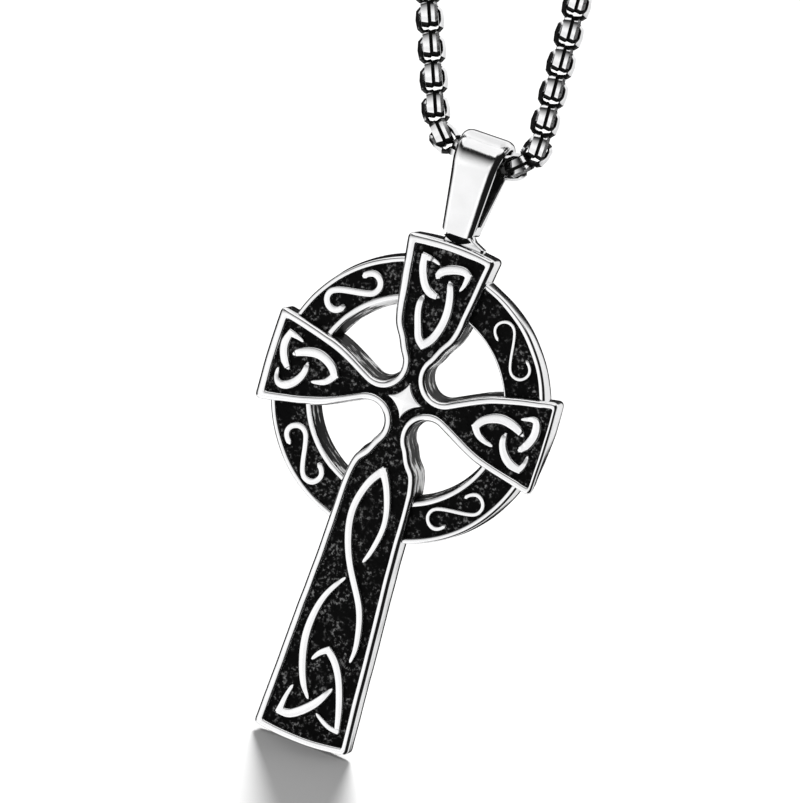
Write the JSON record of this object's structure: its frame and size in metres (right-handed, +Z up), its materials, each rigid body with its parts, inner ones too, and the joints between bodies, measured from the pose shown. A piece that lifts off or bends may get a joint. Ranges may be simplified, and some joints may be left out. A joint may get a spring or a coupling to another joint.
{
  "type": "celtic cross pendant on a chain",
  "caption": "Ringed cross pendant with knotwork relief and a strap bail, hanging from a closed necklace chain with a plain clasp.",
  "frame": {"origin": "top of the necklace's loop, on the underside of the clasp, where the loop hangs on a neck or peg", "axes": "+Z up, -Y towards the viewer of the pendant's face, +X to the viewer's right"},
  "size_m": [0.0902, 0.0064, 0.329],
  "materials": {
    "cast_steel": "polished rims, knots and star over blackened stippled recesses",
    "chain_steel": "polished links",
    "clasp_steel": "finely brushed"
  },
  "bodies": {
    "necklace": {"chain": "chain_steel", "clasp": "clasp_steel"},
    "pendant": {"cross_and_bail": "cast_steel"}
  },
  "joints": [
    {"name": "pendant_swing", "type": "hinge", "parent": "necklace", "child": "pendant", "pos_m": [-0.00028, 0, -0.26187], "axis": [0.9781, 0, -0.2079], "range_deg": [-90, 90]}
  ]
}
